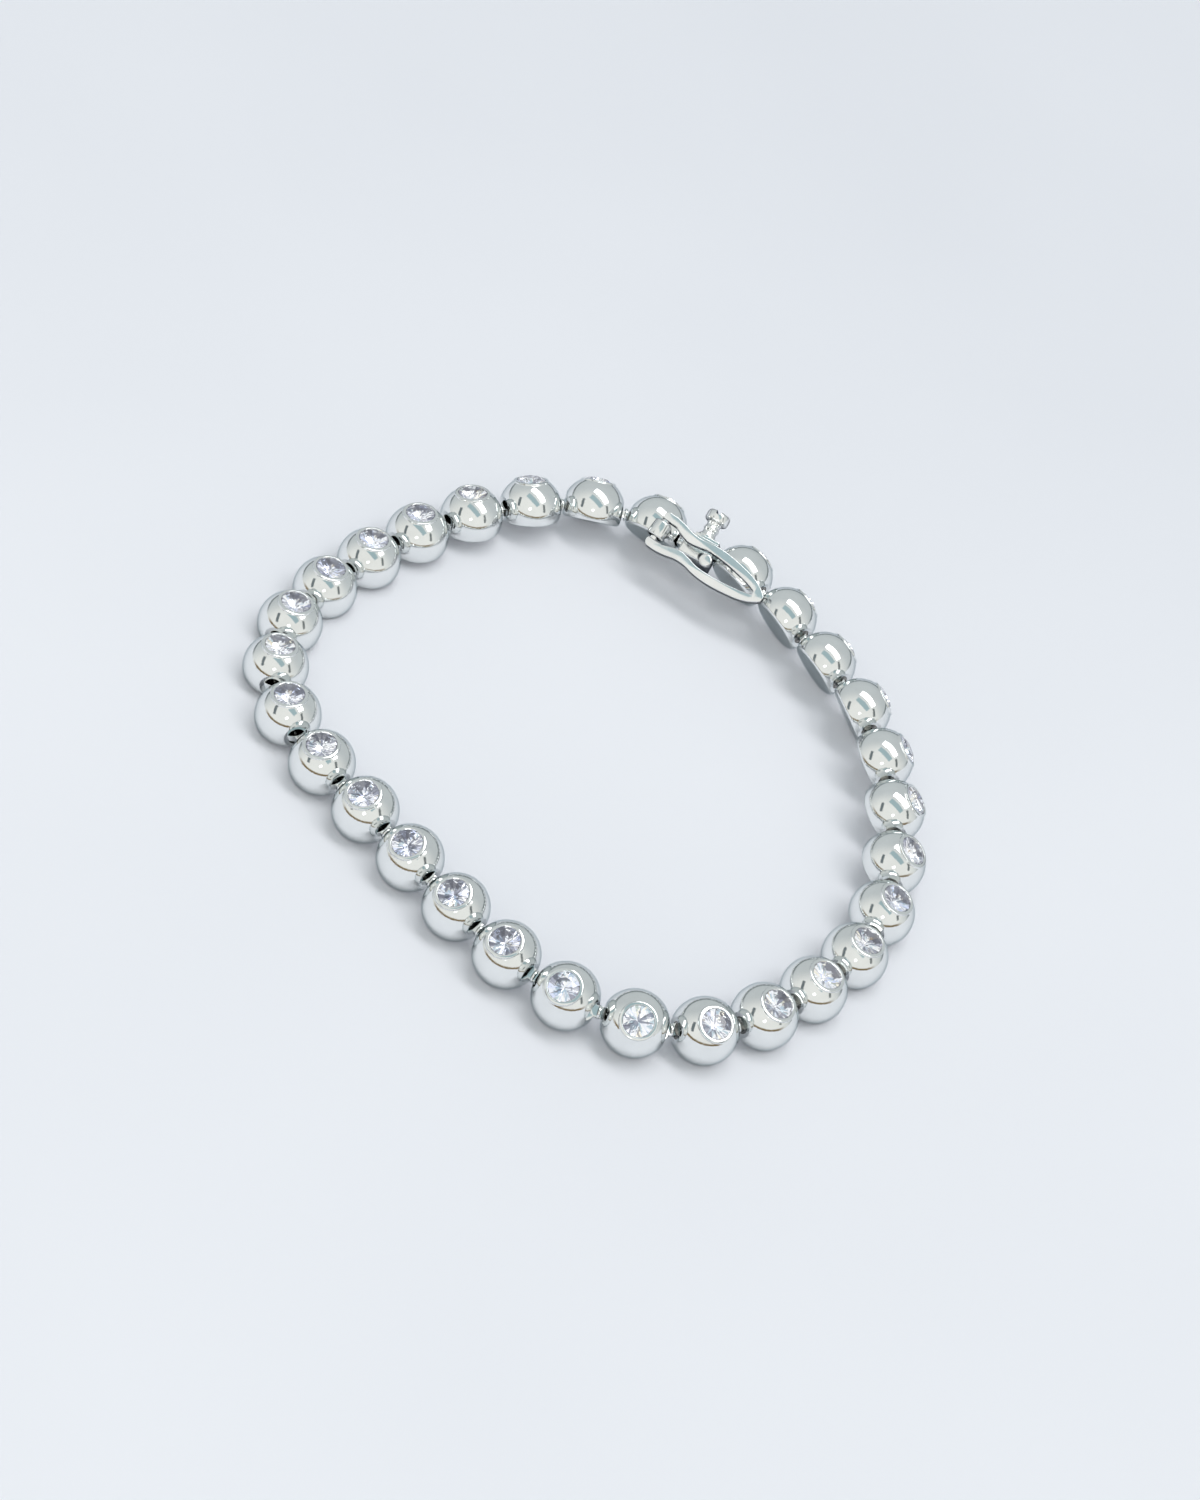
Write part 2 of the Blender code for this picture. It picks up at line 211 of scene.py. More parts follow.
# Sizes worked out from those above
PIN_REACH = BALL_RADIUS - PIN_INSET
EYE_REACH = 2 * BALL_RADIUS + BALL_GAP - PIN_REACH
BOX_START = BALL_RADIUS + CLEARANCE
BOX_END = BOX_START + BOX_LENGTH
CLASP_EYE_REACH = BOX_END + BALL_GAP + PIN_INSET
LEVER_OFFSET = BALL_RADIUS + LEVER_STANDOFF
NUB_STATION = BOX_END + NUB_ADVANCE - HINGE_ADVANCE
STONE_RADIUS = STONE_DIAMETER / 2
SETTING_RADIUS = STONE_RADIUS + SETTING_WALL
SETTING_FOOT = math.sqrt(BALL_RADIUS**2 - SETTING_RADIUS**2)
RIM = SETTING_FOOT + SETTING_HEIGHT

# The barrel's material, after the ball's silver and the shade inside it
BARREL_SLOT = 2


def arc(centre, radius, start_degrees, end_degrees, count):
    angles = np.radians(np.linspace(start_degrees, end_degrees, count))
    return [(centre[0] + radius * math.cos(a), centre[1] + radius * math.sin(a)) for a in angles]


def mirrored(points):
    return [(x, -y) for x, y in points]


def curve_point(before, here, after, later, share):
    """The point at this share of the way from here to after, on a smooth curve through all four."""
    bend = 2 * before - 5 * here + 4 * after - later
    twist = 3 * here - before - 3 * after + later
    return (2 * here + (after - before) * share + bend * share**2 + twist * share**3) / 2


# The chain's lie, as in the solids


def route_path():
    """Many points of the closed route, each with its lift."""
    points = np.array(ROUTE, float) * (ROUTE_UNIT, ROUTE_UNIT, 1)
    shares = np.linspace(0, 1, ROUTE_SAMPLES, endpoint=False)[:, None]
    stretches = []
    for index in range(len(points)):
        corners = [points[(index + step) % len(points)] for step in (-1, 0, 1, 2)]
        stretches.append(curve_point(*corners, shares))
    stretches.append(points[:1])
    return np.concatenate(stretches)


def stepped(path, scale, lengths):
    """Joints these lengths apart along the scaled path, and their places on it."""
    spots = path[:, :2] * scale
    joints = [spots[0]]
    places = [0.0]
    index = 1
    for length in lengths:
        while index < len(spots) and np.linalg.norm(spots[index] - joints[-1]) < length:
            index += 1
        if index == len(spots):
            return None
        low, high = 0.0, 1.0
        for _ in range(SEARCH_STEPS):
            share = (low + high) / 2
            spot = spots[index - 1] + (spots[index] - spots[index - 1]) * share
            if np.linalg.norm(spot - joints[-1]) < length:
                low = share
            else:
                high = share
        joints.append(spot)
        places.append(index - 1 + share)
    return np.array(joints), np.array(places)


def closed_chain(path):
    """The joints on the path, scaled so that the last link closes the chain, and their places."""
    lengths = [EYE_REACH + PIN_REACH] * LINK_COUNT
    lengths[0] = CLASP_EYE_REACH + PIN_REACH
    low, high = ROUTE_SCALES
    for _ in range(SEARCH_STEPS):
        scale = (low + high) / 2
        found = stepped(path, scale, lengths[:-1])
        if found and np.linalg.norm(found[0][-1] - found[0][0]) > lengths[-1]:
            high = scale
        else:
            low = scale
    joints, places = stepped(path, high, lengths[:-1])
    return joints, np.append(places, len(path) - 1)


def rest_height(lift):
    """How high a ball's centre is over the floor when its stone is lifted by this angle."""
    low = -math.asin((BACK_DEPTH - BACK_BEVEL) / BALL_RADIUS)
    spots = [(BALL_RADIUS * math.cos(angle), BALL_RADIUS * math.sin(angle)) for angle in (low, 0)]
    spots.append((math.sqrt(BALL_RADIUS**2 - BACK_DEPTH**2) - BACK_BEVEL, -BACK_DEPTH))
    return max(radius * abs(math.cos(lift)) - height * math.sin(lift) for radius, height in spots)


def link_frames():
    """Each link's frame, the end link first, before the whole is moved to where the solids lie."""
    path = route_path()
    joints, places = closed_chain(path)
    lifts = np.radians(np.interp((places[:-1] + places[1:]) / 2, np.arange(len(path)), path[:, 2]))
    heights = np.array([rest_height(lift) for lift in lifts])
    joints = np.column_stack([joints, (heights + np.roll(heights, 1)) / 2])
    frames = []
    for index, lift in enumerate(lifts):
        start = Vector(joints[index])
        along = (Vector(joints[(index + 1) % LINK_COUNT]) - start).normalized()
        outward = Vector((along.y, -along.x, 0)).normalized()
        stone = outward * math.cos(lift) + Vector((0, 0, 1)) * math.sin(lift)
        stone = (stone - along * stone.dot(along)).normalized()
        turn = Matrix((along, stone.cross(along), stone)).transposed().to_4x4()
        reach = EYE_REACH if index else CLASP_EYE_REACH
        frames.append(Matrix.Translation(start + along * reach) @ turn)
    return frames


def moved_onto_solids(frames):
    """The frames after the one move that lays each ball's flat back on its solid's."""
    directions = []
    gaps = []
    for number in range(1, LINK_COUNT):
        centre = frames[number].translation
        back = -frames[number].col[2].xyz
        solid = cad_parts[f"link_{number:02d}"]
        reach = max((vertex.co - centre).dot(back) for vertex in solid.data.vertices)
        directions.append(back)
        gaps.append(reach - BACK_DEPTH)
    move = Vector(np.linalg.lstsq(np.array(directions), np.array(gaps), rcond=None)[0])
    return [Matrix.Translation(move) @ place for place in frames]


# Mesh helpers


def in_scene(name, data):
    """A new object of the scene with this data."""
    obj = bpy.data.objects.new(name, data)
    bpy.context.scene.collection.objects.link(obj)
    return obj


def as_mesh(name, shape):
    mesh = bpy.data.meshes.new(name)
    shape.to_mesh(mesh)
    shape.free()
    return mesh


def smoothed(mesh):
    """The mesh with its round faces smooth and its corners sharp."""
    mesh.shade_smooth()
    mesh.set_sharp_from_angle(angle=math.radians(SMOOTH_DEGREES))
    return mesh


def coated(mesh, *materials):
    """The mesh with these materials added."""
    for material in materials:
        mesh.materials.append(material)
    return mesh


def new_object(name, shape):
    return in_scene(name, smoothed(as_mesh(name, shape)))


def turned(name, profile, steps=BALL_STEPS):
    """Turns (radius, height) points round Z, from the top point on the axis to the bottom one."""
    shape = bmesh.new()
    angles = [2 * math.pi * step / steps for step in range(steps)]
    rings = []
    for radius, height in profile:
        if radius < MERGE_DISTANCE:
            rings.append([shape.verts.new((0, 0, height))] * steps)
        else:
            spots = [(radius * math.cos(a), radius * math.sin(a), height) for a in angles]
            rings.append([shape.verts.new(spot) for spot in spots])
    for upper, lower in zip(rings, rings[1:]):
        for step in range(steps):
            after = (step + 1) % steps
            corners = [upper[step], lower[step], lower[after], upper[after]]
            unique = list(dict.fromkeys(corners))
            if len(unique) > 2:
                shape.faces.new(unique)
    return new_object(name, shape)


def soft_edges(obj, width):
    bevel = obj.modifiers.new("Edges", "BEVEL")
    bevel.width = width
    bevel.segments = EDGE_STEPS
    bevel.limit_method = "ANGLE"
    bevel.angle_limit = math.radians(EDGE_DEGREES)
    return obj


def block(name, size, centre, edge=EDGE):
    shape = bmesh.new()
    bmesh.ops.create_cube(shape, size=1.0)
    bmesh.ops.scale(shape, vec=size, verts=shape.verts)
    bmesh.ops.translate(shape, vec=centre, verts=shape.verts)
    return soft_edges(new_object(name, shape), edge)


def rod(name, profile, start, end, steps=ROUND_STEPS):
    """A turned piece from start to end: its profile is (radius, distance from start)."""
    start = Vector(start)
    end = Vector(end)
    obj = turned(name, [(0, profile[-1][1]), *reversed(profile), (0, profile[0][1])], steps)
    turn = Vector((0, 0, 1)).rotation_difference(end - start).to_matrix().to_4x4()
    obj.data.transform(Matrix.Translation(start) @ turn)
    return obj


def rounded(diameter, length, edge=EDGE):
    """The profile of a bar with rounded rims."""
    radius = diameter / 2
    low = [(radius - edge + x, edge - y) for y, x in arc((0, 0), edge, 0, 90, 4)]
    high = [(r, length - d) for r, d in reversed(low)]
    return low + high


def flat_plate(name, outlines, thickness, edge):
    """A plate with these outlines in the XY plane, the inner ones open."""
    curve = bpy.data.curves.new(name, "CURVE")
    curve.dimensions = "2D"
    curve.fill_mode = "BOTH"
    curve.extrude = thickness / 2
    for outline in outlines:
        spline = curve.splines.new("POLY")
        spline.points.add(len(outline) - 1)
        for point, (x, y) in zip(spline.points, outline):
            point.co = (x, y, 0, 1)
        spline.use_cyclic_u = True
    guide = in_scene(name, curve)
    graph = bpy.context.evaluated_depsgraph_get()
    shape = bmesh.new()
    shape.from_mesh(bpy.data.meshes.new_from_object(guide.evaluated_get(graph)))
    bmesh.ops.remove_doubles(shape, verts=shape.verts, dist=MERGE_DISTANCE)
    limit = math.radians(MERGE_DEGREES)
    bmesh.ops.dissolve_limit(shape, angle_limit=limit, verts=shape.verts, edges=shape.edges)
    bpy.data.objects.remove(guide)
    return soft_edges(new_object(name, shape), edge)


def baked(obj):
    """The object with its modifiers applied."""
    graph = bpy.context.evaluated_depsgraph_get()
    mesh = bpy.data.meshes.new_from_object(obj.evaluated_get(graph))
    obj.modifiers.clear()
    obj.data = mesh
    return obj


def cut(base, cutters):
    """The base less all the cutters, which are removed."""
    for cutter in cutters:
        boolean = base.modifiers.new("Cut", "BOOLEAN")
        boolean.operation = "DIFFERENCE"
        boolean.solver = "EXACT"
        boolean.object = cutter
    baked(base)
    for cutter in cutters:
        bpy.data.objects.remove(cutter)
    smoothed(base.data)
    return base


def gathered(name, objects):
    """One object that holds all these, as they lie."""
    shape = bmesh.new()
    for obj in objects:
        baked(obj)
        shape.from_mesh(obj.data)
        bpy.data.objects.remove(obj)
    return in_scene(name, as_mesh(name, shape))


# The link


def ball_profile():
    """Up the cup under the stone, over the rim and the dome, and round the corner of the flat back."""
    cup = [(0, RIM - CUP_DEPTH), (CUP_RADIUS, RIM - CUP_DROP)]
    inner_lip = arc((STONE_RADIUS + LIP_RADIUS, RIM - LIP_DROP), LIP_RADIUS, 180, 95, 4)
    outer_lip = arc((SETTING_RADIUS - LIP_RADIUS, RIM - LIP_RADIUS), LIP_RADIUS, 80, 0, 5)
    fillet_centre = (SETTING_RADIUS + FILLET_RADIUS, SETTING_FOOT + FILLET_RADIUS / 2)
    fillet = arc(fillet_centre, FILLET_RADIUS, 180, 240, 4)
    high_angle = math.degrees(math.asin(SETTING_FOOT / BALL_RADIUS)) - FILLET_DEGREES
    low_angle = -math.degrees(math.asin((BACK_DEPTH - CORNER_RISE) / BALL_RADIUS))
    dome = arc((0, 0), BALL_RADIUS, high_angle, low_angle, DOME_POINTS)
    back_radius = BALL_RADIUS * math.cos(math.radians(low_angle))
    corner_centre = (back_radius - CORNER_RADIUS * CORNER_INSET, -BACK_DEPTH + CORNER_RADIUS)
    corner = arc(corner_centre, CORNER_RADIUS, -25, -90, 6)
    back = [(BACK_RING * BALL_RADIUS, -BACK_DEPTH), (0, -BACK_DEPTH)]
    return cup + inner_lip + outer_lip + fillet + dome + corner + back


def end_opening(side, depth):
    """The cutter of the round opening in a ball's end, with a flat rim: painted in shade but for the rim.
    """
    start = BALL_RADIUS - depth
    profile = [
        (OPENING_RADIUS, 0),
        (OPENING_RADIUS, OPENING_START - start),
        (OPENING_RADIUS + OPENING_RIM, OPENING_START + OPENING_SLOPE - start),
        (OPENING_RADIUS + OPENING_RIM, BALL_RADIUS + BALL_GAP - start),
    ]
    cutter = rod("opening", profile, (side * start, 0, 0), (side * BALL_RADIUS, 0, 0))
    for face in coated(cutter.data, silver, shade).polygons:
        face.material_index = int(abs(face.center.x) < OPENING_START)
    return cutter


def slot_cutter():
    """The cutter of the dark space behind the opening, its walls painted in shade, where the next link's
    eye sits round the pin.
    """
    depth = EYE_WIDTH / 2 + CLEARANCE
    start = PIN_REACH - depth
    end = OPENING_START - OPENING_SLOPE
    size = (end - start, 2 * depth, SLOT_HEIGHT)
    cutter = baked(block("slot", size, ((start + end) / 2, 0, 0), SLOT_EDGE))
    coated(cutter.data, shade)
    return cutter


def cross_pin():
    """The pin across the slot, which the next link's eye turns on."""
    half = (SLOT_HEIGHT + CLEARANCE) / 2
    profile = rounded(PIN_DIAMETER, 2 * half)
    return rod("pin", profile, (PIN_REACH, 0, -half), (PIN_REACH, 0, half), PIN_STEPS)


def eye_tab(reach, root):
    """The flat eye centred at -reach along X, with its neck."""
    radius = EYE_WIDTH / 2
    neck = TAB_NECK / 2
    spread = math.degrees(math.asin(neck / radius))
    outer = arc((-reach, 0), radius, spread, 360 - spread, EYE_POINTS)
    outer += [(-root, -neck), (-root, neck)]
    hole = arc((-reach, 0), EYE_HOLE / 2, 0, 360, EYE_HOLE_POINTS)[:-1]
    return flat_plate("tab", [outer, hole], TAB_THICKNESS, BROAD_EDGE)


def neck_collar():
    """The small round collar on the eye's neck, in the middle of the gap between two balls."""
    middle = -BALL_RADIUS - BALL_GAP / 2
    half = COLLAR_LENGTH / 2
    profile = rounded(COLLAR_DIAMETER, COLLAR_LENGTH, COLLAR_EDGE)
    return rod("collar", profile, (middle - half, 0, 0), (middle + half, 0, 0))


def ball_body():
    """The ball with its slot at the pin's end and an opening at each end."""
    ball = turned("ball", ball_profile())
    coated(ball.data, silver, shade)
    deep = BALL_RADIUS - OPENING_START + 2 * OPENING_SLOPE
    return cut(ball, [slot_cutter(), end_opening(1, deep), end_opening(-1, OPENING_RADIUS / 2)])


def stone_mesh():
    """A round brilliant with table, stars and upper halves, a girdle, and mains and lower halves."""
    radius = STONE_RADIUS * STONE_FIT
    girdle = STONE_GIRDLE * STONE_DIAMETER
    depth = STONE_DEPTH * STONE_DIAMETER
    table = TABLE_DIAMETER / 2
    star = STONE_STARS * (table + radius)
    eighth = math.pi / 4
    fall = (1 - (star * math.cos(eighth / 2) - table) / (radius - table)) * STONE_CROWN
    lower = STONE_LOWERS * radius
    rise = -depth + (depth - girdle) * lower * math.cos(eighth / 2) / radius
    points = [(0, 0, -depth)]
    for step in range(8):
        turn = step * eighth
        half = turn + eighth / 2
        points.append((table * math.cos(turn), table * math.sin(turn), STONE_CROWN))
        points.append((star * math.cos(half), star * math.sin(half), fall))
        points.append((lower * math.cos(half), lower * math.sin(half), rise))
        for angle in (turn, half):
            for height in (0, -girdle):
                points.append((radius * math.cos(angle), radius * math.sin(angle), height))
    shape = bmesh.new()
    for x, y, z in points:
        shape.verts.new((x, y, z + RIM))
    bmesh.ops.convex_hull(shape, input=shape.verts)
    limit = math.radians(FACET_MERGE_DEGREES)
    bmesh.ops.dissolve_limit(shape, angle_limit=limit, verts=shape.verts, edges=shape.edges)
    bmesh.ops.recalc_face_normals(shape, faces=shape.faces)
    for face in shape.faces:
        face.material_index = int(face.calc_center_median().z < RIM - girdle)
    return coated(as_mesh("stone", shape), clear, underside)


# The clasp


def lever_frame():
    """The lever's own frame in the end link's: X towards its tip, and Z along its axle."""
    slant = math.radians(LEVER_SLANT_DEGREES)
    splay = math.radians(LEVER_SPLAY_DEGREES)
    ahead = math.cos(splay)
    towards_tip = Vector((-math.cos(slant) * ahead, math.sin(splay), -math.sin(slant) * ahead))
    across = Vector((math.sin(slant), 0, -math.cos(slant)))
    turn = Matrix((towards_tip, across.cross(towards_tip), across)).transposed().to_4x4()
    return Matrix.Translation((-HINGE_ADVANCE, LEVER_OFFSET, -LEVER_DROP)) @ turn


def end_link():
    """The end link without its stone: its ball, pin and tongue, and the hinge's barrel on its foot."""
    root = BALL_RADIUS / 2
    tip = BOX_START + TONGUE_REACH
    middle = (-(root + tip) / 2, 0, -BOX_DROP)
    tongue = block("tongue", (tip - root, TONGUE_WIDTH, TONGUE_THICKNESS), middle)
    half = BARREL_LENGTH / 2
    place = lever_frame()
    wall = rounded(BARREL_DIAMETER, BARREL_LENGTH, BROAD_EDGE)
    barrel = rod("barrel", wall, place @ Vector((0, 0, -half)), place @ Vector((0, 0, half)))
    bore = rounded(AXLE_DIAMETER + 2 * CLEARANCE, 2 * BARREL_LENGTH)
    bore_ends = [place @ Vector((0, 0, side * BARREL_LENGTH)) for side in (-1, 1)]
    cut(barrel, [rod("bore", bore, *bore_ends)])
    for face in barrel.data.polygons:
        face.material_index = BARREL_SLOT
    hinge = place.translation
    foot_length = LEVER_OFFSET - BARREL_DIAMETER / 2 + EDGE - root
    foot_profile = rounded(HINGE_FOOT_DIAMETER, foot_length)
    foot = rod("foot", foot_profile, (hinge.x, root, hinge.z), (hinge.x, root + foot_length, hinge.z))
    return gathered("end_link_metal", [ball_body(), cross_pin(), tongue, foot, barrel])


def clasp_box():
    """The box round the tongue, with its stepped cover, stud, nub and eye."""
    middle = -(BOX_START + BOX_END) / 2
    pocket_width = TONGUE_WIDTH + 2 * CLEARANCE
    pocket_height = TONGUE_THICKNESS + 2 * CLEARANCE
    pocket_end = BOX_START + TONGUE_REACH + CLEARANCE
    pocket_middle = -(pocket_end + BALL_RADIUS) / 2
    box_size = (BOX_LENGTH, BOX_WIDTH, BOX_HEIGHT)
    base = baked(block("base", box_size, (middle, 0, -BOX_DROP), BROAD_EDGE))
    pocket_size = (pocket_end - BALL_RADIUS, pocket_width, pocket_height)
    pocket = block("pocket", pocket_size, (pocket_middle, 0, -BOX_DROP))
    parts = [cut(base, [pocket])]
    top = BOX_HEIGHT / 2 - BOX_DROP
    for level in (1, 2):
        height = (1 + PLATE_OVERLAP) * PLATE_HEIGHT
        size = (BOX_LENGTH - level * PLATE_STEP, BOX_WIDTH - 2 * level * PLATE_STEP, height)
        centre = (middle - level * PLATE_STEP / 2, 0, top + level * PLATE_HEIGHT - height / 2)
        parts.append(block(f"plate_{level}", size, centre))
    parts += side_stud(middle, top, top + 2 * PLATE_HEIGHT)
    parts += side_nub()
    parts.append(eye_tab(CLASP_EYE_REACH, BOX_END - CLEARANCE))
    return gathered("clasp_box_metal", parts)


def stud_shaft(x, low, high):
    """The stud's shaft, with shallow rounded grooves."""
    radius = STUD_SHAFT_DIAMETER / 2
    length = high - low
    profile = []
    for step in range(STUD_SHAFT_STEPS + 1):
        share = step / STUD_SHAFT_STEPS
        wave = math.cos(2 * math.pi * STUD_GROOVES * share)
        profile.append((radius * (1 - STUD_GROOVE_DEPTH * (1 - wave)), share * length))
    return rod("shaft", profile, (x, 0, low), (x, 0, high))


def side_stud(x, foot, cover):
    """The stud that stands on the cover: its collar, its shaft and its slotted head."""
    collar_top = cover + STUD_COLLAR_HEIGHT
    shaft_top = collar_top + STUD_SHAFT_LENGTH
    head_top = shaft_top + STUD_HEAD_THICKNESS
    collar_profile = rounded(STUD_COLLAR_DIAMETER, collar_top - foot, COLLAR_EDGE)
    collar = rod("collar", collar_profile, (x, 0, foot), (x, 0, collar_top))
    shaft = stud_shaft(x, collar_top, shaft_top)
    head_profile = rounded(STUD_HEAD_DIAMETER, STUD_HEAD_THICKNESS, HEAD_EDGE)
    head = rod("head", head_profile, (x, 0, shaft_top), (x, 0, head_top))
    notch_size = (STUD_SLOT_WIDTH, 2 * STUD_HEAD_DIAMETER, 2 * STUD_SLOT_DEPTH)
    notch = baked(block("notch", notch_size, (x, 0, head_top), BROAD_EDGE))
    return [collar, shaft, cut(head, [notch])]


def side_nub():
    """The round-headed nub that the lever shuts over, and its slanting post."""
    place = lever_frame()
    foot_height = -BOX_DROP - BOX_HEIGHT / 4
    foot = Vector((-BOX_END + NUB_POST_DIAMETER, BOX_WIDTH / 2 - BOX_WALL / 2, foot_height))
    top = place @ Vector((NUB_STATION, LEVER_THICKNESS / 2, 0))
    post = rod("post", rounded(NUB_POST_DIAMETER, (top - foot).length), foot, top)
    start = place @ Vector((NUB_STATION, -LEVER_THICKNESS / 2, 0))
    end = place @ Vector((NUB_STATION, LEVER_THICKNESS / 2 + CLEARANCE, 0))
    nub = rod("nub", rounded(NUB_DIAMETER, (end - start).length, BROAD_EDGE), start, end)
    return [post, nub]


def smooth_line(points):
    """Points on a smooth curve through these, from the first to the last."""
    last = len(points) - 1
    line = []
    for index in range(last):
        corners = [np.array(points[min(max(index + step, 0), last)]) for step in (-1, 0, 1, 2)]
        for step in range(LINE_STEPS):
            line.append(tuple(curve_point(*corners, step / LINE_STEPS)))
    return [*line, tuple(points[-1])]


def lever():
    """The leaf-shaped loop in its own frame, with Y away from the clasp."""
    half = LEVER_WIDTH / 2
    end_radius = LEVER_OFFSET - BALL_RADIUS - CLEARANCE
    broad = LEVER_SECTIONS[0][1] * half
    shoulder = arc((0, broad - end_radius), end_radius, 180, 90, 7)
    edge = [(station * LEVER_LENGTH, width * half) for station, width, _ in LEVER_SECTIONS[:-1]]
    station, width, _ = LEVER_SECTIONS[-1]
    tip = (station * LEVER_LENGTH, width * half)
    edge.append((tip[0] - LEVER_TIP_ROUNDING, LEVER_TIP_BREADTH * tip[1]))
    outer = [*shoulder, *smooth_line(edge), tip]
    mouth = BARREL_LENGTH / 2 + CLEARANCE
    gap = [(BARREL_DIAMETER / 2 + CLEARANCE, mouth)]
    gap += [(station * LEVER_LENGTH, width * half) for station, _, width in LEVER_SECTIONS[1:-1]]
    inner = [(-end_radius, mouth), *smooth_line(gap)]
    outline = outer + mirrored(reversed(outer)) + mirrored(inner) + inner[::-1]
    plate = flat_plate("plate", [outline], LEVER_THICKNESS, LEVER_EDGE)
    plate.modifiers["Edges"].angle_limit = math.radians(LEVER_EDGE_DEGREES)
    plate.modifiers["Edges"].segments = LEVER_EDGE_STEPS
    baked(plate).data.transform(Matrix.Rotation(math.radians(90), 4, "X"))
    grip = broad - AXLE_DIAMETER / 2
    axle = rod("axle", rounded(AXLE_DIAMETER, 2 * grip), (0, 0, -grip), (0, 0, grip))
    return gathered("lever_metal", [plate, axle])


# Materials

LINK_TINT = (0.895, 0.91, 0.905)
# Painted shade: the link's edge tint darkens its reflection at grazing angles, so each ball gets a darker
# outline
LINK_EDGE_PAINTED_SHADE = (0.50, 0.55, 0.57)
CLASP_TINT = (0.93, 0.94, 0.93)
LEVER_TINT = (0.96, 0.965, 0.96)
# Painted shade: the clasp's and lever's edge tint darkens their reflections almost to black at grazing
# angles
CLASP_EDGE_PAINTED_SHADE = (0.05, 0.06, 0.08)
SMEAR_SHADE = 0.93
# Painted shade inside the balls' openings and slots, mottled from dark to mid-grey
INSIDE_SHADE_DARK = (0.10, 0.10, 0.10)
INSIDE_SHADE_LIGHT = (0.42, 0.41, 0.38)
STONE_TINTS = ((0.97, 0.975, 1.0), (1.0, 1.0, 1.0))
# The pale blue of the faint painted glow of the stone's lower facets
STONE_GLOW = (0.84, 0.87, 1.0)
# The floor's pale tone, and a duller one for random patches and for painted shade towards the far side
FLOOR_LIGHT = (0.83, 0.84, 0.89)
FLOOR_DULL_AND_SHADED = (0.73, 0.745, 0.80)
NOISE_RANGE = (0.3, 0.7)

# The painted light and shade of the stone's lower facets: dark facets, white glints and touches of yellow
# and blue fire, each tone from its place on a scale of 0 to 1 up to the next
FACET_LIGHT_AND_SHADE = [
    (0.00, (0.28, 0.29, 0.35)),
    (0.34, (0.94, 0.95, 1.0)),
    (0.40, (1.0, 0.95, 0.80)),
    (0.42, (1.0, 1.0, 1.0)),
    (0.54, (0.96, 0.97, 1.0)),
    (0.60, (1.0, 1.0, 1.0)),
    (0.65, (0.78, 0.83, 1.0)),
    (0.70, (0.32, 0.33, 0.40)),
]


def new_material(name):
    material = bpy.data.materials.new(name)
    material.use_nodes = True
    return material, material.node_tree.nodes, material.node_tree.links


def noise_range(nodes, links, coordinates, scale, detail, low, high):
    """The value of a noise texture, spread from low to high."""
    noise = nodes.new("ShaderNodeTexNoise")
    noise.inputs["Scale"].default_value = scale
    noise.inputs["Detail"].default_value = detail
    links.new(coordinates.outputs["Object"], noise.inputs["Vector"])
    spread = nodes.new("ShaderNodeMapRange")
    spread.inputs["From Min"].default_value = NOISE_RANGE[0]
    spread.inputs["From Max"].default_value = NOISE_RANGE[1]
    spread.inputs["To Min"].default_value = low
    spread.inputs["To Max"].default_value = high
    links.new(noise.outputs["Fac"], spread.inputs["Value"])
    return spread.outputs["Result"]


def blend_base_colour(nodes, links, share, first, second):
    """Makes the shader's base colour a blend of these two."""
    colour = nodes.new("ShaderNodeMix")
    colour.data_type = "RGBA"
    colour.inputs["A"].default_value = (*first, 1)
    colour.inputs["B"].default_value = (*second, 1)
    links.new(share, colour.inputs["Factor"])
    links.new(colour.outputs["Result"], nodes["Principled BSDF"].inputs["Base Color"])


def polished_metal(name, tint, painted_edge_shade, roughness_low, roughness_high):
    """Plated silver: a bright mirror with faint smears and the finest handling marks, and painted shade
    from its edge tint, which darkens the reflection at grazing angles.
    """
    material, nodes, links = new_material(name)
    shader = nodes["Principled BSDF"]
    shader.inputs["Metallic"].default_value = 1.0
    # Painted shade: the edge tint dims the reflection towards the outline
    shader.inputs["Specular Tint"].default_value = (*painted_edge_shade, 1)
    coordinates = nodes.new("ShaderNodeTexCoord")
    smear = noise_range(nodes, links, coordinates, scale=500, detail=3, low=0, high=1)
    blend_base_colour(nodes, links, smear, [SMEAR_SHADE * part for part in tint], tint)
    roughness = noise_range(nodes, links, coordinates, 1300, 4, roughness_low, roughness_high)
    links.new(roughness, shader.inputs["Roughness"])
    grain = noise_range(nodes, links, coordinates, scale=9000, detail=2, low=0, high=1)
    bump = nodes.new("ShaderNodeBump")
    bump.inputs["Strength"].default_value = 0.05
    bump.inputs["Distance"].default_value = 0.00002
    links.new(grain, bump.inputs["Height"])
    links.new(bump.outputs["Normal"], shader.inputs["Normal"])
    return material


def dark_inside(name):
    """The unpolished inside of a ball, painted in shade: metal mottled at random from dark to mid-grey.
    """
    material, nodes, links = new_material(name)
    shader = nodes["Principled BSDF"]
    shader.inputs["Metallic"].default_value = 1.0
    coordinates = nodes.new("ShaderNodeTexCoord")
    shade_mottle = noise_range(nodes, links, coordinates, scale=2500, detail=3, low=0, high=1)
    blend_base_colour(nodes, links, shade_mottle, INSIDE_SHADE_DARK, INSIDE_SHADE_LIGHT)
    shader.inputs["Roughness"].default_value = 0.2
    return material


def clear_stone(name):
    """The clear stone over its bright underside."""
    material, nodes, links = new_material(name)
    shader = nodes["Principled BSDF"]
    shader.inputs["Roughness"].default_value = 0.0
    shader.inputs["IOR"].default_value = 1.7
    shader.inputs["Transmission Weight"].default_value = 1.0
    coordinates = nodes.new("ShaderNodeTexCoord")
    clarity = noise_range(nodes, links, coordinates, scale=700, detail=2, low=0, high=1)
    blend_base_colour(nodes, links, clarity, *STONE_TINTS)
    return material


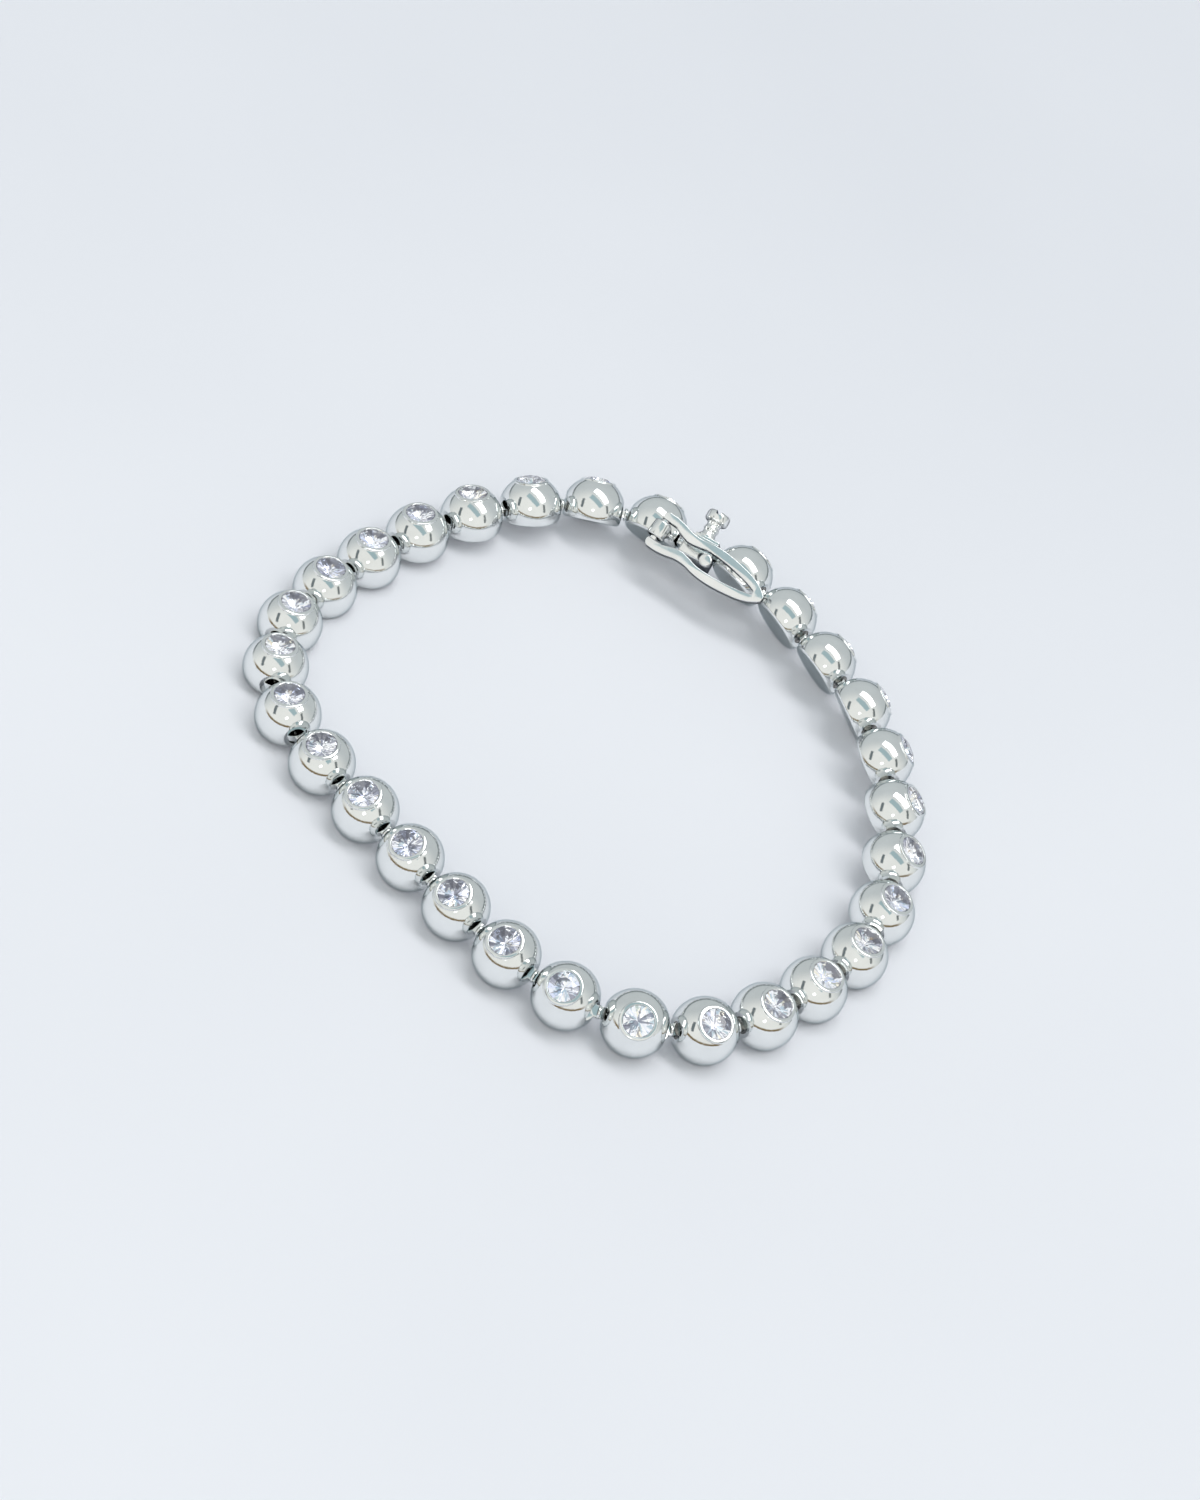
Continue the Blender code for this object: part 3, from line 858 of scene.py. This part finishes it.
def bright_underside(name):
    """The stone's lower facets, which throw light back up, each in a painted dark or bright tone picked
    by where it faces, with a faint painted glow.
    """
    material, nodes, links = new_material(name)
    shader = nodes["Principled BSDF"]
    shader.inputs["Metallic"].default_value = 1.0
    shader.inputs["Roughness"].default_value = 0.04
    # A faint painted glow: the lower facets give off pale blue light of their own
    shader.inputs["Emission Color"].default_value = (*STONE_GLOW, 1)
    shader.inputs["Emission Strength"].default_value = 0.09
    facing = nodes.new("ShaderNodeNewGeometry")
    pick = nodes.new("ShaderNodeTexNoise")
    pick.inputs["Scale"].default_value = 14
    pick.inputs["Detail"].default_value = 0
    links.new(facing.outputs["True Normal"], pick.inputs["Vector"])
    # Painted light and shade: each flat facet gets a dark or bright tone from the way it faces
    light_and_shade = nodes.new("ShaderNodeValToRGB")
    light_and_shade.color_ramp.interpolation = "CONSTANT"
    while len(light_and_shade.color_ramp.elements) < len(FACET_LIGHT_AND_SHADE):
        light_and_shade.color_ramp.elements.new(0.5)
    for element, (position, tone) in zip(light_and_shade.color_ramp.elements, FACET_LIGHT_AND_SHADE):
        element.position = position
        element.color = (*tone, 1)
    links.new(pick.outputs["Fac"], light_and_shade.inputs["Fac"])
    links.new(light_and_shade.outputs["Color"], shader.inputs["Base Color"])
    return material


def pale_floor(name):
    """A matt pale floor, a little duller in random patches, with painted shade that darkens it towards
    +Y, away from the camera.
    """
    material, nodes, links = new_material(name)
    shader = nodes["Principled BSDF"]
    shader.inputs["Roughness"].default_value = 0.75
    coordinates = nodes.new("ShaderNodeTexCoord")
    patches = noise_range(nodes, links, coordinates, scale=14, detail=2, low=0, high=0.3)
    place = nodes.new("ShaderNodeSeparateXYZ")
    links.new(coordinates.outputs["Object"], place.inputs["Vector"])
    # Painted shade: the floor darkens smoothly towards +Y, away from the camera
    distance = nodes.new("ShaderNodeMapRange")
    distance.interpolation_type = "SMOOTHSTEP"
    distance.inputs["From Min"].default_value = -0.02
    distance.inputs["From Max"].default_value = 0.13
    distance.inputs["To Max"].default_value = 0.7
    links.new(place.outputs["Y"], distance.inputs["Value"])
    patches_and_far_shade = nodes.new("ShaderNodeMath")
    links.new(patches, patches_and_far_shade.inputs[0])
    links.new(distance.outputs["Result"], patches_and_far_shade.inputs[1])
    blend_base_colour(nodes, links, patches_and_far_shade.outputs["Value"], FLOOR_LIGHT, FLOOR_DULL_AND_SHADED)
    return material


# The studio

FLOOR_REACH = 1.5
ROOM_NEAR = (0.87, 0.88, 0.85)
ROOM_FAR = (0.56, 0.60, 0.61)
NEAR_EDGE = (0.20, 0.145, 0.07)
FAR_EDGE = (0.20, 0.23, 0.24)
EDGE_TOP = 0.15

# How far towards the camera's side each tone of the room starts and ends
ROOM_BLEND = (-0.5, 0.6)
NEAR_EDGE_BLEND = (0.1, 0.6)
FAR_EDGE_BLEND = (0.0, -0.5)

# Panels of light and shade in the sky, each over the ones before it. Directions are as the camera sees
# them: right, up and towards the camera. The columns are the middle, the long side's direction, half its
# length and half its width in degrees, and the colour.
SKY_PANELS = [
    ((-0.62, 0.28, 0.73), (0.2, 1.0, 0.0), 15, 5, (0.16, 0.19, 0.20)),
    ((0.80, -0.15, 0.58), (0.0, 1.0, 0.3), 13, 4, (0.18, 0.20, 0.20)),
    ((0.215, 0.377, 0.900), (0.68, -0.72, 0.14), 28, 9, (0.38, 0.50, 0.53)),
    ((0.507, 0.640, 0.576), (0.67, -0.71, 0.20), 29, 9.5, (4.3, 4.3, 4.3)),
    ((0.0, -0.20, 0.98), (1.0, 0.4, 0.0), 5, 3.5, (2.4, 2.4, 2.4)),
]
PANEL_END_BLUR = 0.04
PANEL_SIDE_BLUR = 0.1
PANEL_DEPTH_BLEND = (0, 0.1)
SMALLEST_DEPTH = 0.001


def camera_turn():
    """The camera's right, up and towards-itself directions as the columns of a matrix."""
    elevation = math.radians(VIEW_ELEVATION)
    roll = math.radians(VIEW_ROLL)
    towards = Vector((0, -math.cos(elevation), math.sin(elevation)))
    level = Vector((1, 0, 0))
    upright = towards.cross(level)
    right = level * math.cos(roll) + upright * math.sin(roll)
    up = upright * math.cos(roll) - level * math.sin(roll)
    return Matrix((right, up, towards)).transposed()


def make_camera():
    data = bpy.data.cameras.new("camera")
    data.lens = LENS_MM
    data.sensor_width = SENSOR_MM
    data.clip_start = CLIP_START
    camera = in_scene("camera", data)
    turn = camera_turn()
    spot = Vector(VIEW_TARGET) + turn.col[2] * VIEW_DISTANCE
    camera.matrix_world = Matrix.Translation(spot) @ turn.to_4x4()
    bpy.context.scene.camera = camera


def make_floor():
    shape = bmesh.new()
    bmesh.ops.create_grid(shape, x_segments=1, y_segments=1, size=FLOOR_REACH)
    floor = new_object("floor", shape)
    coated(floor.data, pale_floor("floor"))


def make_sky():
    """A pale room, lighter on the camera's side, with a dark line round its foot and panels above."""
    world = bpy.data.worlds.new("studio")
    bpy.context.scene.world = world
    world.use_nodes = True
    nodes = world.node_tree.nodes
    links = world.node_tree.links
    coordinates = nodes.new("ShaderNodeTexCoord")

    def calculated(operation, *values):
        node = nodes.new("ShaderNodeMath")
        node.operation = operation
        for socket, value in zip(node.inputs, values):
            if isinstance(value, (int, float)):
                socket.default_value = value
            else:
                links.new(value, socket)
        return node.outputs[0]

    def along(direction):
        node = nodes.new("ShaderNodeVectorMath")
        node.operation = "DOT_PRODUCT"
        links.new(coordinates.outputs["Generated"], node.inputs[0])
        node.inputs[1].default_value = direction
        return node.outputs["Value"]

    def eased(value, low, high):
        node = nodes.new("ShaderNodeMapRange")
        node.interpolation_type = "SMOOTHSTEP"
        node.inputs["From Min"].default_value = min(low, high)
        node.inputs["From Max"].default_value = max(low, high)
        node.inputs["To Min"].default_value = float(low > high)
        node.inputs["To Max"].default_value = float(low < high)
        links.new(value, node.inputs["Value"])
        return node.outputs["Result"]

    def laid_over(below, colour, mask):
        node = nodes.new("ShaderNodeMix")
        node.data_type = "VECTOR"
        links.new(mask, node.inputs["Factor"])
        if isinstance(below, tuple):
            node.inputs["A"].default_value = below
        else:
            links.new(below, node.inputs["A"])
        node.inputs["B"].default_value = colour
        return node.outputs["Result"]

    def inside(position, limit_degrees, blur):
        limit = math.tan(math.radians(limit_degrees))
        return eased(calculated("ABSOLUTE", position), limit * (1 + blur), limit * (1 - blur))

    near = along(Vector((0, -1, 0)))
    height = along(Vector((0, 0, 1)))
    colour = laid_over(ROOM_FAR, ROOM_NEAR, eased(near, *ROOM_BLEND))
    low = eased(height, EDGE_TOP, EDGE_TOP / 2)
    colour = laid_over(colour, NEAR_EDGE, calculated("MULTIPLY", low, eased(near, *NEAR_EDGE_BLEND)))
    colour = laid_over(colour, FAR_EDGE, calculated("MULTIPLY", low, eased(near, *FAR_EDGE_BLEND)))
    turn = camera_turn()
    for place, long_side, half_length, half_width, tint in SKY_PANELS:
        middle = (turn @ Vector(place)).normalized()
        lengthwise = turn @ Vector(long_side)
        lengthwise = (lengthwise - middle * lengthwise.dot(middle)).normalized()
        depth = calculated("MAXIMUM", along(middle), SMALLEST_DEPTH)
        length_share = calculated("DIVIDE", along(lengthwise), depth)
        width_share = calculated("DIVIDE", along(middle.cross(lengthwise)), depth)
        in_length = inside(length_share, half_length, PANEL_END_BLUR)
        in_width = inside(width_share, half_width, PANEL_SIDE_BLUR)
        mask = calculated("MULTIPLY", in_length, in_width)
        mask = calculated("MULTIPLY", mask, eased(depth, *PANEL_DEPTH_BLEND))
        colour = laid_over(colour, tint, mask)
    links.new(colour, nodes["Background"].inputs["Color"])


# The bracelet


def add_piece(name, mesh, place, body, slot_name, *nodes):
    """A piece at its place, riding on its body and standing for these solids."""
    obj = in_scene(name, mesh)
    obj.matrix_world = place
    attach(obj, body)
    if nodes:
        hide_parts(*nodes)


def taken(obj, *materials):
    """The object's mesh, smoothed and coated, without the object."""
    mesh = obj.data
    bpy.data.objects.remove(obj)
    return coated(smoothed(mesh), *materials)


silver = polished_metal("link_metal", LINK_TINT, LINK_EDGE_PAINTED_SHADE, 0.03, 0.10)
clasp_silver = polished_metal("clasp_metal", CLASP_TINT, CLASP_EDGE_PAINTED_SHADE, 0.06, 0.18)
lever_silver = polished_metal("lever_metal", LEVER_TINT, CLASP_EDGE_PAINTED_SHADE, 0.06, 0.16)
shade = dark_inside("ball_inside")
clear = clear_stone("stone")
underside = bright_underside("stone_underside")

frames = moved_onto_solids(link_frames())
link_parts = [ball_body(), cross_pin(), eye_tab(EYE_REACH, LINK_ROOT), neck_collar()]
link_mesh = taken(gathered("link_metal", link_parts), silver, shade)
stone = stone_mesh()
for number in range(1, LINK_COUNT):
    name = f"{number:02d}"
    stone_turn = Matrix.Rotation(math.radians(STONE_TURN * number), 4, "Z")
    add_piece(f"ball_{name}", link_mesh, frames[number], "bracelet", "link_metal", f"link_{name}")
    add_piece(f"stone_{name}", stone, frames[number] @ stone_turn, "bracelet", "link_metal")
end_mesh = taken(end_link(), silver, shade, clasp_silver)
add_piece("end_ball", end_mesh, frames[0], "bracelet", "link_metal", "end_link")
add_piece("end_stone", stone, frames[0], "bracelet", "link_metal")
clasp_mesh = taken(clasp_box(), clasp_silver)
add_piece("clasp", clasp_mesh, frames[0], "bracelet", "clasp_metal", "clasp_box")
lever_mesh = taken(lever(), lever_silver)
lever_place = frames[0] @ lever_frame()
add_piece("lever_loop", lever_mesh, lever_place, "lever", "lever_metal", "safety_lever")

make_floor()
make_sky()
make_camera()
bpy.context.scene.view_settings.view_transform = "Standard"
